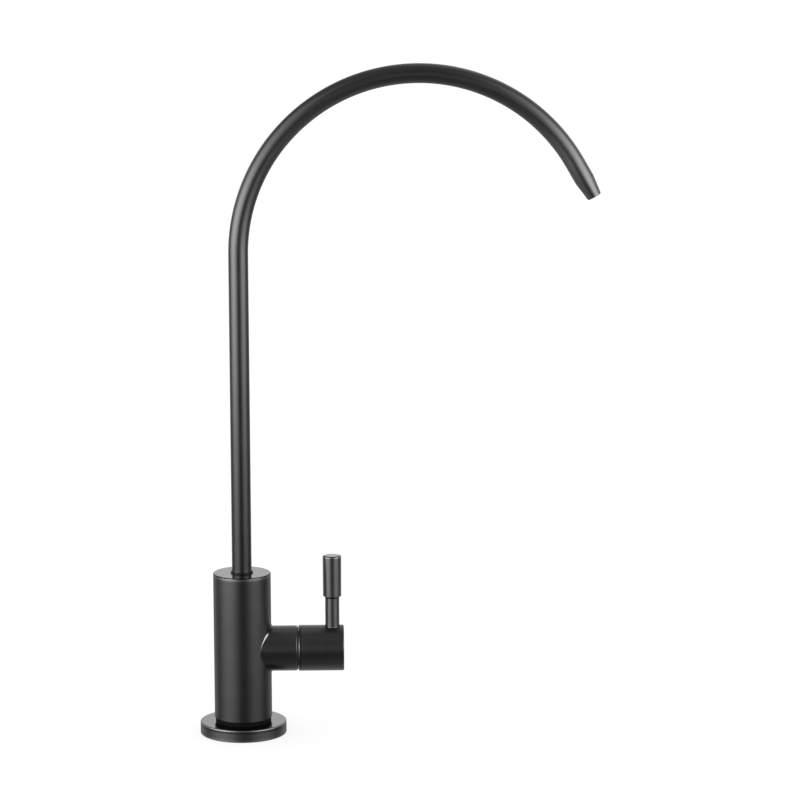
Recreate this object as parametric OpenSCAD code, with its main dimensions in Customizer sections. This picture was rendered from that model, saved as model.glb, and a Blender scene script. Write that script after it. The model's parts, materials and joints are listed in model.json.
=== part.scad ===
// Drinking water filter tap: round base plate, upright valve body with a side boss,
// swivelling gooseneck spout, and a quarter-turn lever on a ceramic disc cartridge.
// Sizes in millimetres. The origin is on the body's axis at the worktop's surface,
// +Z is up, and +X points along the boss, towards the lever.

/* [Base] */
// Diameter of the round base plate
base_d = 45; // [42:0.5:60]
// Thickness of the base plate
base_h = 6.5; // [5:0.5:10]
// Rounding of the base plate's rims
base_edge = 0.6; // [0.2:0.1:1.5]
// Rim of metal left outside the gasket under the base
gasket_rim = 3.7; // [2:0.1:6]
// Thickness of the gasket under the base
gasket_h = 1.5; // [1:0.1:3]
// Height of the black ring in the shadow gap under the body
foot_ring_h = 2.2; // [0.5:0.1:3]
// How far the black ring stands back from the body's side
foot_ring_inset = 0.5; // [0.3:0.1:3]
// Width of the black ring
foot_ring_w = 5; // [3:0.5:6]

/* [Body] */
// Diameter of the upright body
body_d = 30; // [28:0.5:36]
// Height of the upright body
body_h = 77; // [75:0.5:120]
// Rounding of the body's top rim
body_edge = 0.6; // [0.2:0.1:1.5]
// Rounding of the body's foot
body_foot_edge = 0.2; // [0.1:0.1:1]
// Height of the boss's axis above the body's foot
boss_rise = 36.3; // [35:0.1:40]
// Diameter of the side boss
boss_d = 23.6; // [22.6:0.2:26]
// Reach of the boss's face from the body's axis
boss_reach = 28.6; // [27:0.2:36]
// Rounding of the boss's rim
boss_edge = 0.8; // [0.2:0.1:1]

/* [Spout] */
// Outside diameter of the spout tube
tube_d = 10.2; // [9.6:0.1:12]
// Wall of the spout tube
tube_wall = 1; // [0.8:0.1:1.4]
// Length of the upright run of the spout
riser_l = 166.5; // [120:0.5:220]
// Radius of the bend, at the tube's centre
bend_r = 92.5; // [60:0.5:110]
// Angle that the bend turns through
bend_angle = 150; // [120:1:180]
// Straight run between the bend and the necked tip
tail_l = 10.1; // [5:0.1:40]
// Length of the necked tip
tip_l = 10.2; // [6:0.1:16]
// Outside diameter of the mouth
mouth_d = 7.6; // [6.4:0.1:9]
// Rounding of the mouth's lip
lip_edge = 0.15; // [0.1:0.05:0.45]

/* [Spout socket] */
// Step from the tube's side in to the spigot's side
spigot_step = 0.6; // [0.4:0.1:0.7]
// Length of the spigot's plug inside the tube
plug_l = 8; // [5:0.5:15]
// Least wall of the spigot, under its seals
spigot_wall = 0.7; // [0.5:0.1:1]
// Wall of the nylon bush that the spout turns in
bush_wall = 0.95; // [0.8:0.05:1.5]
// Length of the bush inside the body
bush_l = 12.6; // [10:0.1:14]
// Height of the bush's collar, which shows on top of the body
collar_h = 0.7; // [0.5:0.1:2]
// How far the collar stands out past the bush
collar_lip = 0.3; // [0.2:0.1:1]
// Thickness of the split clip that keeps the spout in
clip_h = 1; // [0.8:0.1:1.4]
// Depth of the clip's groove in the spigot
clip_groove = 0.75; // [0.6:0.05:0.9]
// Section of the spout's seal rings
spout_seal_d = 1.5; // [1.2:0.1:1.7]
// Drop from the clip to the upper seal ring
seal_drop = 3; // [2.5:0.1:4]
// Spacing of the two seal rings
seal_pitch = 4; // [3:0.1:5]

/* [Cartridge] */
// Bore of the chamber that the cartridge sits in
chamber_d = 16; // [15.4:0.1:16.6]
// Diameter of the thread that holds the cartridge
cart_thread_d = 18; // [17.4:0.1:19]
// Length of that thread
cart_thread_l = 10.2; // [8:0.2:11]
// Distance of the chamber's seat from the body's axis
seat_x = 1; // [0.8:0.1:2]
// Width of the water gap round the cartridge's cup
flow_gap = 0.8; // [0.6:0.1:1]
// Wall of the cartridge's cup
cup_wall = 0.8; // [0.6:0.1:1.2]
// Lift of the cup off the seat
cup_lift = 0.8; // [0.4:0.1:1.5]
// Width of the two windows in the cup
window_w = 5; // [4:0.1:6]
// Thickness of the rubber seat seal
seat_seal_h = 2.2; // [1.8:0.1:3]
// Thickness of each ceramic disc
disc_h = 2.8; // [2.4:0.1:3.4]
// Half angle of each opening in the fixed disc
opening_half_angle = 38; // [30:1:40]
// Thickness of the spindle's drive flange
drive_h = 2; // [1.5:0.1:2.5]
// Thickness of the slip washer
slip_washer_h = 0.6; // [0.4:0.1:1]
// Section of the cartridge's outer seal ring
cart_seal_d = 1.6; // [1.4:0.1:1.8]
// Thickness of the cartridge's flange, which shows in the groove
flange_h = 0.5; // [0.4:0.1:1]
// How far the flange stands back from the boss's side
flange_inset = 0.6; // [0.4:0.1:1.5]
// Width across the flats of the cartridge's hexagon
cart_hex = 16; // [15:0.2:16.6]
// Height of the cartridge's hexagon
cart_hex_h = 4; // [3:0.1:5]
// Diameter of the spindle
spindle_d = 8; // [7:0.1:8.4]
// Section of the spindle's seal rings
spindle_seal_d = 1.2; // [1:0.1:1.3]
// Thickness of the spindle's retaining clip
spindle_clip_h = 0.8; // [0.6:0.1:1]
// Length of the spline on the spindle
spline_l = 7.5; // [6:0.1:9]
// Number of teeth on the spline
spline_teeth = 20; // [16:1:24]
// Height of a spline tooth
spline_tooth = 0.4; // [0.3:0.05:0.5]

/* [Waterways] */
// Diameter of the inlet drilling that rises to the seat
riser_bore_d = 4; // [3:0.1:4.2]
// Distance of that drilling behind the body's axis
riser_bore_x = 2.8; // [2.6:0.1:3]
// Diameter of the port in the middle of the seat
port_d = 5; // [4:0.1:6]
// Diameter of the drilling from the chamber up to the spout
outlet_d = 3.8; // [3:0.1:4]
// Distance of that drilling in front of the body's axis
outlet_x = 2.8; // [2.5:0.1:2.9]

/* [Lever] */
// Clearance between the cartridge's flange and the hub
hub_gap = 0.1; // [0.05:0.05:0.5]
// Diameter of the hub
hub_d = 23.9; // [23:0.1:26]
// Length of the hub
hub_l = 23.7; // [22.5:0.1:30]
// Rounding of the hub's rims
hub_edge = 0.7; // [0.2:0.1:1]
// Distance of the stem's axis from the hub's outer face
stem_inset = 6; // [5:0.1:6.5]
// Diameter of the stem
stem_d = 7.4; // [6.6:0.1:8]
// Depth of the recess that the stem's foot stands in
stem_sink = 1.4; // [1:0.1:2]
// Clearance round the stem's foot in that recess
stem_recess_gap = 0.25; // [0.15:0.05:0.4]
// Diameter of the stem's threaded tail
stem_thread_d = 4.9; // [4:0.1:5.4]
// Height of the grip's foot above the hub's axis
grip_rise = 27.8; // [22:0.1:40]
// Length of the grip
grip_l = 21.6; // [16:0.1:40]
// Diameter of the grip at its foot
grip_foot_d = 9.5; // [8.8:0.1:12]
// Diameter of the grip at its top
grip_top_d = 9.7; // [8.8:0.1:12]
// Chamfer on the grip's two rims
grip_chamfer = 0.4; // [0.2:0.1:0.8]
// Diameter of the pin that the grip is pressed on
grip_pin_d = 5; // [4:0.1:5.6]
// Length of that pin
grip_pin_l = 10; // [6:0.5:14]
// Diameter of the grub screw that locks the hub
grub_d = 4; // [3:0.5:5]
// How far the grub screw lies below the hub's side
grub_sink = 2; // [1:0.1:3]

/* [Shank and fixing] */
// Thread diameter of the shank
shank_d = 12; // [11.4:0.1:12.6]
// Water bore of the shank
shank_bore_d = 5.2; // [4:0.1:6]
// Length of the shank screwed into the body
shank_sink = 12.8; // [11:0.1:15]
// Thickness of the sealing washer above the shank
shank_seal_h = 1.5; // [1:0.1:2]
// Depth of the water space above that washer
plenum_h = 4.5; // [3:0.1:5]
// Thickness of the worktop that the tap is clamped to
deck_t = 20; // [5:1:50]
// Diameter of the two clamp washers
washer_d = 30; // [25:0.5:40]
// Thickness of the rubber clamp washer
rubber_washer_h = 3; // [2:0.1:5]
// Thickness of the steel clamp washer
steel_washer_h = 1.5; // [1:0.1:3]
// Width across the flats of the lock nut
nut_af = 19; // [17:0.5:24]
// Height of the lock nut
nut_h = 8; // [5:0.5:12]
// Thread left free under the nut
thread_spare = 1.5; // [1:0.5:10]
// Diameter of the inlet tail
inlet_d = 11.1; // [10:0.1:11.2]
// Length of the inlet tail
inlet_l = 18; // [16:0.5:30]
// Bore at the inlet's end, for a quarter-inch tube
tube_socket_d = 6.5; // [6.4:0.05:6.8]
// Depth of that bore
tube_socket_l = 15; // [10:0.5:15.5]

/* [Fits] */
// Clearance of what turns or slides in a bore, on the radius
run_fit = 0.05; // [0.03:0.01:0.08]
// Clearance of a ring in its groove
groove_fit = 0.02; // [0.01:0.01:0.05]
// Clearance between parts that pass without touching
pass_gap = 0.3; // [0.25:0.05:0.4]
// Clearance of a washer on its shank
washer_gap = 0.2; // [0.1:0.05:0.4]
// Play of a ring along its groove
ring_play = 0.25; // [0.2:0.05:0.3]

/* [Hidden] */
$fn = 96;
// Steps in the arc of a rounded rim
rim_steps = 6;
// Chamfer on threaded ends
thread_chamfer = 0.5;
// Overshoot of a cut past the face that it opens
over = 1;

// Heights on the body's axis
body_z0 = base_h + foot_ring_h;
body_z1 = body_z0 + body_h;
boss_z = body_z0 + boss_rise;
body_r = body_d / 2;
boss_r = boss_d / 2;

// Shank, inlet and clamp, from the worktop's surface down
shank_r = shank_d / 2;
shank_z1 = body_z0 + shank_sink;
socket_z1 = shank_z1 + shank_seal_h;
plenum_z1 = socket_z1 + plenum_h;
plenum_step = 1;
plenum_r = shank_r - plenum_step;
shank_seal_margin = 0.5;
rubber_washer_z = -deck_t - rubber_washer_h;
steel_washer_z = rubber_washer_z - steel_washer_h;
nut_z = steel_washer_z - nut_h;
inlet_z1 = nut_z - thread_spare;
inlet_z0 = inlet_z1 - inlet_l;
washer_bore_r = shank_r + washer_gap;

// Spout, from the body's top up
tube_r = tube_d / 2;
tube_bore_r = tube_r - tube_wall;
tube_z0 = body_z1 + collar_h + run_fit;
bend_z = tube_z0 + riser_l;
mouth_r = mouth_d / 2;
mouth_bore_r = mouth_r - tube_wall;
// The end of the tube is swaged a little smaller, from just inside the bend's end
swage_step = 0.1;
swage_lap = 0.5;

// Spout socket, from the body's top down
spigot_r = tube_r - spigot_step;
bush_bore_r = spigot_r + run_fit;
bush_r = bush_bore_r + bush_wall;
collar_r = bush_r + collar_lip;
socket_r = bush_r + run_fit;
bush_z0 = body_z1 - bush_l;
clip_z1 = bush_z0 - ring_play;
clip_z0 = clip_z1 - clip_h;
clip_groove_r = spigot_r - clip_groove;
seal_bore_r = spigot_r + pass_gap;
spout_seal_r = seal_bore_r - run_fit;
spout_seal_floor_r = spout_seal_r - spout_seal_d - groove_fit;
spout_seal_z = [clip_z0 - seal_drop, clip_z0 - seal_drop - seal_pitch];
spigot_bore_r = spout_seal_floor_r - spigot_wall;
spigot_end = 3;
spigot_z0 = spout_seal_z[1] - spigot_end;
socket_floor_z = spigot_z0 - over;

// Cartridge, measured along the boss from the body's axis
chamber_r = chamber_d / 2;
cart_thread_r = cart_thread_d / 2;
cart_thread_x = boss_reach - cart_thread_l;
cup_r = chamber_r - flow_gap;
cup_bore_r = cup_r - cup_wall;
cup_x = seat_x + cup_lift;
fixed_disc_x = seat_x + seat_seal_h;
moving_disc_x = fixed_disc_x + disc_h + run_fit;
drive_x = moving_disc_x + disc_h;
slip_washer_x = drive_x + drive_h + run_fit;
shoulder_x = slip_washer_x + slip_washer_h;
cup_neck = 0.5;
land_r = chamber_r - pass_gap;
cart_seal_setback = 3.5;
cart_seal_x = shoulder_x + cart_seal_setback;
cart_seal_r = chamber_r - run_fit;
flange_r = boss_r - flange_inset;
hex_x = boss_reach + flange_h;
head_x = hex_x + cart_hex_h;
hex_corner_r = cart_hex / 2 / cos(30);
spindle_r = spindle_d / 2;
spindle_bore_r = spindle_r + run_fit;
spindle_seal_setback = 2.5;
spindle_seal_pitch = 5;
spindle_seal_x = [for (i = [0, 1]) shoulder_x + spindle_seal_setback + i * spindle_seal_pitch];
spindle_clip_x = head_x + run_fit;
spindle_clip_groove = 0.6;
spindle_clip_lip = 1.2;
spindle_groove_r = spindle_r - spindle_clip_groove;
disc_margin = 1.4;
disc_opening_r0 = disc_margin;
disc_opening_r1 = cup_bore_r - disc_margin;
fixed_disc_gap = 0.1;
fixed_disc_r = cup_bore_r - fixed_disc_gap;
moving_disc_gap = 0.4;
moving_disc_r = cup_bore_r - moving_disc_gap;
drive_r = moving_disc_r - washer_gap;
opening_lap = 2;
tang_w = 3;
tang_margin = 1.5;
tang_l = 2 * (moving_disc_r - tang_margin);
tang_h = disc_h / 2;
tang_play = 0.1;

// Lever hub and what it carries
hub_r = hub_d / 2;
hub_x0 = hex_x + hub_gap;
hub_x1 = hub_x0 + hub_l;
cavity_r = hex_corner_r + pass_gap;
cavity_room = 1.6;
cavity_x1 = spindle_clip_x + spindle_clip_h + cavity_room;
spline_play = 0.1;
spline_end_gap = 0.5;
spline_step = 0.15;
spline_r = spindle_r - spline_step;
spline_bore_r = spline_r + spline_play;
stem_x = hub_x1 - stem_inset;
stem_r = stem_d / 2;
stem_foot = hub_r - stem_sink;
stem_thread_wall = 1.3;
stem_thread_end = spline_bore_r + stem_thread_wall;
grub_x = cavity_x1 + spline_l / 2;
grub_tip = spline_bore_r;
grub_end = hub_r - grub_sink;
grub_key = grub_d / 2;

// Points of an arc about c, from angle a0 to angle a1
function arc(c, r, a0, a1, steps) =
    [for (i = [0:steps]) let (a = a0 + (a1 - a0) * i / steps) c + r * [cos(a), sin(a)]];

// Outline of a spline: a tooth tip and a root by turns
function spline_outline(tip, root) =
    [for (i = [0:2 * spline_teeth - 1])
        let (a = 180 * i / spline_teeth, r = i % 2 == 0 ? tip : root) r * [cos(a), sin(a)]];

// A turned bar along +Z, with its foot and top rims rounded, or chamfered when steps is 1
module bar(r, z0, z1, foot = 0, top = 0, steps = rim_steps) {
    foot_rim = foot > 0 ? arc([r - foot, z0 + foot], foot, -90, 0, steps) : [[r, z0]];
    top_rim = top > 0 ? arc([r - top, z1 - top], top, 0, 90, steps) : [[r, z1]];
    rotate_extrude() polygon(concat([[0, z0]], foot_rim, top_rim, [[0, z1]]));
}

// A flat ring, or the groove that one sits in
module ring(r_in, r_out, z0, h) {
    rotate_extrude() translate([r_in, z0]) square([r_out - r_in, h]);
}

// A plain drilling
module drill(r, z0, z1) {
    translate([0, 0, z0]) cylinder(r = r, h = z1 - z0);
}

// A seal ring of round section
module seal_ring(r_out, section, z) {
    rotate_extrude() translate([r_out - section / 2, z]) circle(d = section);
}

// The groove for such a ring, in a shaft of radius r
module seal_groove(r, r_out, section, z) {
    width = section + 2 * ring_play;
    ring(r_out - section - groove_fit, r + over, z - width / 2, width);
}

// A sector of a ring, centred on the direction of +X
module sector(r_in, r_out, half_angle, z0, h) {
    rotate([0, 0, -half_angle])
        rotate_extrude(angle = 2 * half_angle) translate([r_in, z0]) square([r_out - r_in, h]);
}

// A split ring, open by the given width on its -X side
module split_ring(r_in, r_out, z0, h, split) {
    difference() {
        ring(r_in, r_out, z0, h);
        translate([-r_out - over, -split / 2, z0 - over]) cube([r_out, split, h + 2 * over]);
    }
}

// A hexagon across the flats, along +Z
module hexagon(af, z0, h) {
    translate([0, 0, z0]) cylinder(r = af / 2 / cos(30), h = h, $fn = 6);
}

// Puts what is drawn along +Z on the boss's axis
module on_boss() {
    translate([0, 0, boss_z]) rotate([0, 90, 0]) children();
}

// Puts what is drawn along +Z on the lever's stem, from the hub's axis up
module on_stem() {
    translate([stem_x, 0, boss_z]) children();
}

// Puts what is drawn along +Z on the tail, from the bend's end outwards
module on_tail() {
    translate([bend_r * (1 - cos(bend_angle)), 0, bend_z + bend_r * sin(bend_angle)])
        rotate([0, bend_angle, 0]) children();
}

// Round plate that spreads the tap's foot over the hole in the worktop
module base_plate() {
    gasket_r = base_d / 2 - gasket_rim;
    color("#2e2e30") difference() {
        bar(base_d / 2, 0, base_h, base_edge, base_edge);
        drill(washer_bore_r, -over, base_h + over);
        drill(gasket_r + run_fit, -over, gasket_h);
    }
}

// Rubber gasket let into the underside of the base plate
module base_gasket() {
    color("#151515") ring(washer_bore_r, base_d / 2 - gasket_rim, 0, gasket_h);
}

// Black ring between base plate and body, seen as a shadow gap
module foot_ring() {
    r = body_r - foot_ring_inset;
    color("#101010") ring(r - foot_ring_w, r, base_h, foot_ring_h);
}

// Upright body and side boss, forged in one and drilled for the water
module valve_body() {
    color("#2e2e30") difference() {
        union() {
            bar(body_r, body_z0, body_z1, body_foot_edge, body_edge);
            on_boss() bar(boss_r, 0, boss_reach, 0, boss_edge);
        }
        spout_socket();
        cartridge_chamber();
        waterways();
    }
}

// The stepped hole in the body's top that the spout turns in
module spout_socket() {
    drill(socket_r, clip_z0, body_z1 + over);
    drill(seal_bore_r, socket_floor_z, clip_z1);
}

// The chamber along the boss, with its seat and thread
module cartridge_chamber() {
    on_boss() {
        drill(chamber_r, seat_x, boss_reach + over);
        drill(cart_thread_r, cart_thread_x, boss_reach + over);
    }
}

// The drillings that lead the water from the shank to the seat, and on to the spout
module waterways() {
    drill(shank_r + run_fit, body_z0 - over, socket_z1);
    drill(plenum_r, shank_z1, plenum_z1);
    translate([-riser_bore_x, 0, 0]) drill(riser_bore_d / 2, plenum_z1 - over, boss_z);
    on_boss() drill(port_d / 2, -riser_bore_x, seat_x + over);
    translate([outlet_x, 0, 0]) drill(outlet_d / 2, boss_z + cup_r, socket_floor_z + over);
}

// Threaded pipe that carries the water up and clamps the tap to the worktop
module shank() {
    color("#b9a15a") difference() {
        union() {
            bar(shank_r, inlet_z1, shank_z1, 0, thread_chamfer, 1);
            bar(inlet_d / 2, inlet_z0, inlet_z1 + over, thread_chamfer, 0, 1);
        }
        drill(shank_bore_d / 2, inlet_z0, shank_z1 + over);
        drill(tube_socket_d / 2, inlet_z0 - over, inlet_z0 + tube_socket_l);
    }
}

// Washer that seals the shank's end in the body
module shank_seal() {
    color("#1c1c1c") ring(shank_bore_d / 2 + shank_seal_margin, shank_r - run_fit, shank_z1, shank_seal_h);
}

// Rubber clamp washer under the worktop
module rubber_washer() {
    color("#1a1a1a") ring(washer_bore_r, washer_d / 2, rubber_washer_z, rubber_washer_h);
}

// Steel clamp washer between the rubber one and the nut
module steel_washer() {
    color("#c2c4c6") ring(washer_bore_r, washer_d / 2, steel_washer_z, steel_washer_h);
}

// Hexagon nut that draws the tap down
module lock_nut() {
    corner = nut_af / 2 / cos(30);
    color("#b9a15a") difference() {
        intersection() {
            hexagon(nut_af, nut_z, nut_h);
            bar(corner, nut_z, nut_z + nut_h, corner - nut_af / 2, corner - nut_af / 2, 1);
        }
        drill(shank_r + run_fit, nut_z - over, nut_z + nut_h + over);
    }
}

// Nylon bush that the spout turns in, with the collar that shows round its foot
module spout_bush() {
    color("#121212") {
        ring(bush_bore_r, bush_r, bush_z0, bush_l + collar_h);
        ring(bush_r - bush_wall / 2, collar_r, body_z1, collar_h);
    }
}

// Split clip under the bush, which keeps the spigot from being pulled out
module spout_clip() {
    color("#c9cbcd")
        split_ring(clip_groove_r + pass_gap, socket_r - ring_play, clip_z0, clip_h, spigot_r);
}

// Turned spigot brazed into the tube's foot
module spout_spigot() {
    color("#b9a15a") difference() {
        union() {
            bar(spigot_r, spigot_z0, tube_z0, thread_chamfer, 0, 1);
            drill(tube_bore_r - run_fit, tube_z0, tube_z0 + plug_l);
        }
        drill(spigot_bore_r, spigot_z0 - over, tube_z0 + plug_l + over);
        ring(clip_groove_r, spigot_r + over, clip_z0 - pass_gap, clip_h + 2 * pass_gap);
        for (z = spout_seal_z) seal_groove(spigot_r, spout_seal_r, spout_seal_d, z);
    }
}

// The two seal rings on the spigot
module spout_seals() {
    color("#151515") for (z = spout_seal_z) seal_ring(spout_seal_r, spout_seal_d, z);
}

// Gooseneck tube: an upright run, the bend, and a swaged end with a necked tip
module spout_tube() {
    end = tail_l + tip_l;
    lip = arc([mouth_r - lip_edge, end - lip_edge], lip_edge, 0, 90, rim_steps);
    color("#2e2e30") difference() {
        union() {
            spout_run(tube_r);
            on_tail() swaged_end(tube_r - swage_step, concat(lip, [[0, end]]));
        }
        spout_run(tube_bore_r);
        on_tail() swaged_end(tube_bore_r - swage_step,
            [[mouth_bore_r, end], [mouth_bore_r, end + over], [0, end + over]]);
    }
}

// A rod of radius r along the upright run and the bend
module spout_run(r) {
    drill(r, tube_z0, bend_z);
    translate([bend_r, 0, bend_z]) rotate([90, 0, 0]) rotate([0, 0, 180])
        rotate_extrude(angle = -bend_angle) translate([bend_r, 0]) circle(r = r);
}

// A turned rod of radius r along the tail, finished by the given mouth outline
module swaged_end(r, mouth_outline) {
    rotate_extrude() polygon(concat([[0, -swage_lap], [r, -swage_lap], [r, tail_l]], mouth_outline));
}

// Rubber ring that presses the fixed disc up from the seat
module seat_seal() {
    color("#151515") on_boss()
        ring(disc_opening_r1, fixed_disc_r, seat_x, seat_seal_h);
}

// Ceramic disc with two openings, keyed in the cup's windows by its ears
module fixed_disc() {
    ear_w = window_w - 2 * tang_play;
    color("#f1efe8") on_boss() difference() {
        union() {
            drill(fixed_disc_r, fixed_disc_x, fixed_disc_x + disc_h);
            intersection() {
                drill(cup_r, fixed_disc_x, fixed_disc_x + disc_h);
                translate([-ear_w / 2, -cup_r, fixed_disc_x]) cube([ear_w, 2 * cup_r, disc_h]);
            }
        }
        for (a = [0, 180]) rotate([0, 0, a])
            sector(disc_opening_r0, disc_opening_r1, opening_half_angle,
                fixed_disc_x - over, disc_h + 2 * over);
    }
}

// Ceramic disc that the spindle turns: its two arms cover the openings until the lever is swung
module moving_disc() {
    notch_half_angle = opening_half_angle + opening_lap;
    notch_r = tang_w / 2 + over;
    color("#f1efe8") on_boss() difference() {
        drill(moving_disc_r, moving_disc_x, moving_disc_x + disc_h);
        for (a = [90, 270]) rotate([0, 0, a])
            sector(notch_r, moving_disc_r + over, notch_half_angle,
                moving_disc_x - over, disc_h + 2 * over);
        tang_bar(tang_play, drive_x - tang_h - tang_play, drive_x + over);
    }
}

// The flat bar that drives the moving disc, wider by play on every side for its slot
module tang_bar(play, z0, z1) {
    translate([-tang_l / 2 - play, -tang_w / 2 - play, z0])
        cube([tang_l + 2 * play, tang_w + 2 * play, z1 - z0]);
}

// Slip washer between the spindle's flange and the housing's shoulder
module slip_washer() {
    color("#e9e6da") on_boss()
        ring(spindle_r + pass_gap, fixed_disc_r, slip_washer_x, slip_washer_h);
}

// Spindle: tang, drive flange, sealed shaft, clip groove and spline
module spindle() {
    color("#b9a15a") on_boss() difference() {
        union() {
            tang_bar(0, drive_x - tang_h, drive_x + over);
            drill(drive_r, drive_x, drive_x + drive_h);
            drill(spindle_r, drive_x, cavity_x1);
            translate([0, 0, cavity_x1]) linear_extrude(spline_l)
                polygon(spline_outline(spline_r, spline_r - spline_tooth));
        }
        for (x = spindle_seal_x) seal_groove(spindle_r, spindle_r, spindle_seal_d, x);
        ring(spindle_groove_r, spindle_r + over,
            spindle_clip_x - groove_fit, spindle_clip_h + 2 * groove_fit);
    }
}

// The two seal rings on the spindle
module spindle_seals() {
    color("#151515") on_boss()
        for (x = spindle_seal_x) seal_ring(spindle_r, spindle_seal_d, x);
}

// Brass housing of the cartridge: windowed cup, sealed land, thread, flange and hexagon
module cartridge_housing() {
    color("#b9a15a") on_boss() difference() {
        union() {
            drill(cup_r, cup_x, boss_reach);
            drill(land_r, shoulder_x + cup_neck, boss_reach);
            bar(cart_thread_r - run_fit, cart_thread_x + pass_gap, boss_reach, thread_chamfer, 0, 1);
            drill(flange_r, boss_reach, hex_x);
            hexagon(cart_hex, hex_x - flange_h / 2, cart_hex_h + flange_h / 2);
        }
        drill(cup_bore_r, cup_x - over, shoulder_x);
        drill(spindle_bore_r, shoulder_x - over, head_x + over);
        translate([-window_w / 2, -cup_r - over, cup_x - over])
            cube([window_w, 2 * (cup_r + over), drive_x - cup_x + over]);
        seal_groove(land_r, cart_seal_r, cart_seal_d, cart_seal_x);
    }
}

// Seal ring round the cartridge
module cartridge_seal() {
    color("#151515") on_boss() seal_ring(cart_seal_r, cart_seal_d, cart_seal_x);
}

// Split clip that keeps the spindle from sliding in
module spindle_clip() {
    color("#c9cbcd") on_boss()
        split_ring(spindle_groove_r + groove_fit, spindle_r + spindle_clip_lip,
            spindle_clip_x, spindle_clip_h, spindle_r);
}

// Round hub that covers the cartridge's head and carries the stem
module lever_hub() {
    color("#2e2e30") difference() {
        on_boss() difference() {
            bar(hub_r, hub_x0, hub_x1, hub_edge, hub_edge);
            drill(cavity_r, hub_x0 - over, cavity_x1);
            translate([0, 0, cavity_x1 - over]) linear_extrude(spline_l + spline_end_gap + over)
                polygon(spline_outline(spline_bore_r, spline_bore_r - spline_tooth));
        }
        on_stem() drill(stem_r + stem_recess_gap, stem_foot, hub_r + over);
        on_stem() drill(stem_thread_d / 2 + run_fit, stem_thread_end - spline_end_gap, hub_r);
        translate([grub_x, 0, boss_z]) drill(grub_d / 2 + run_fit, -hub_r - over, 0);
    }
}

// Grub screw under the hub, with a hexagon socket
module grub_screw() {
    color("#3a3a3c") translate([grub_x, 0, boss_z]) difference() {
        bar(grub_d / 2, -grub_end, -grub_tip, 0, thread_chamfer, 1);
        hexagon(grub_key, -grub_end - over, over + grub_key);
    }
}

// Stem of the lever, screwed into the hub
module lever_stem() {
    color("#2e2e30") on_stem() {
        bar(stem_thread_d / 2, stem_thread_end, stem_foot + over, thread_chamfer, 0, 1);
        drill(stem_r, stem_foot, grip_rise);
        bar(grip_pin_d / 2, grip_rise - over, grip_rise + grip_pin_l, 0, thread_chamfer, 1);
    }
}

// Tapered grip pressed on the stem's pin
module lever_grip() {
    foot_r = grip_foot_d / 2;
    top_r = grip_top_d / 2;
    top_z = grip_rise + grip_l;
    color("#2e2e30") on_stem() difference() {
        rotate_extrude() polygon([
            [0, grip_rise],
            [foot_r - grip_chamfer, grip_rise],
            [foot_r, grip_rise + grip_chamfer],
            [top_r, top_z - grip_chamfer],
            [top_r - grip_chamfer, top_z],
            [0, top_z]
        ]);
        drill(grip_pin_d / 2 + run_fit, grip_rise - over, grip_rise + grip_pin_l + spline_end_gap);
    }
}

base_plate();
base_gasket();
foot_ring();
valve_body();
shank();
shank_seal();
rubber_washer();
steel_washer();
lock_nut();
spout_bush();
spout_clip();
spout_spigot();
spout_seals();
spout_tube();
seat_seal();
fixed_disc();
moving_disc();
slip_washer();
spindle();
spindle_seals();
cartridge_housing();
cartridge_seal();
spindle_clip();
lever_hub();
grub_screw();
lever_stem();
lever_grip();
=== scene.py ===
# %% [markdown]
# # A drinking water filter tap
#
# The tap is a turned body on a round base, with a gooseneck spout that swivels and a small
# quarter-turn lever on a side boss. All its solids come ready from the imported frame, in metres,
# with the origin on the worktop under the body's axis. This notebook gives every solid its
# finish, makes the few forms that need a mesh of their own, and sets camera and light.

# %% Load the frame
import json
import math

import bmesh
import bpy
from mathutils import Matrix, Vector


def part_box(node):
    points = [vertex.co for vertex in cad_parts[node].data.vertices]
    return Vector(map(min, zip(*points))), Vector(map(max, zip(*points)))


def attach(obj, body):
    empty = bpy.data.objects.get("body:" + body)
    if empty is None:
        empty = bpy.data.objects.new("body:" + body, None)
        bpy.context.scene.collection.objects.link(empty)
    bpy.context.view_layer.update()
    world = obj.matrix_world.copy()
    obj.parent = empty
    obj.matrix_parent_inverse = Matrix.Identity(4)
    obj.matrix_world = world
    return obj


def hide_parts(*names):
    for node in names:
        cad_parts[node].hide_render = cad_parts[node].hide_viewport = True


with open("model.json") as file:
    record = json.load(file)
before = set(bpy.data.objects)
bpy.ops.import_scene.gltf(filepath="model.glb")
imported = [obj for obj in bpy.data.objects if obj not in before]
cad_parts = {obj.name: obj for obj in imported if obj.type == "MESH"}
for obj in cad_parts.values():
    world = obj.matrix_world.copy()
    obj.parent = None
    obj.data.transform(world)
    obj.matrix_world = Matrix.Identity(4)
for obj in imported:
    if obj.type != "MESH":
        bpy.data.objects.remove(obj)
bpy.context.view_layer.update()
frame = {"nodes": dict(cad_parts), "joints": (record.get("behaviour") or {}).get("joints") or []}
MM = 0.001
nodes = frame["nodes"]
joints = {joint["name"]: joint for joint in frame["joints"]}

# %% [markdown]
# ## Node trees as expressions
#
# A node tree is easier to read as a sum than as a list of nodes and links. `Wire` is a value on
# its way through a tree: adding or multiplying wires adds the Math nodes. Every other node comes
# from `Graph.add`, which takes the node's type, its settings and what goes into its sockets.


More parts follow.
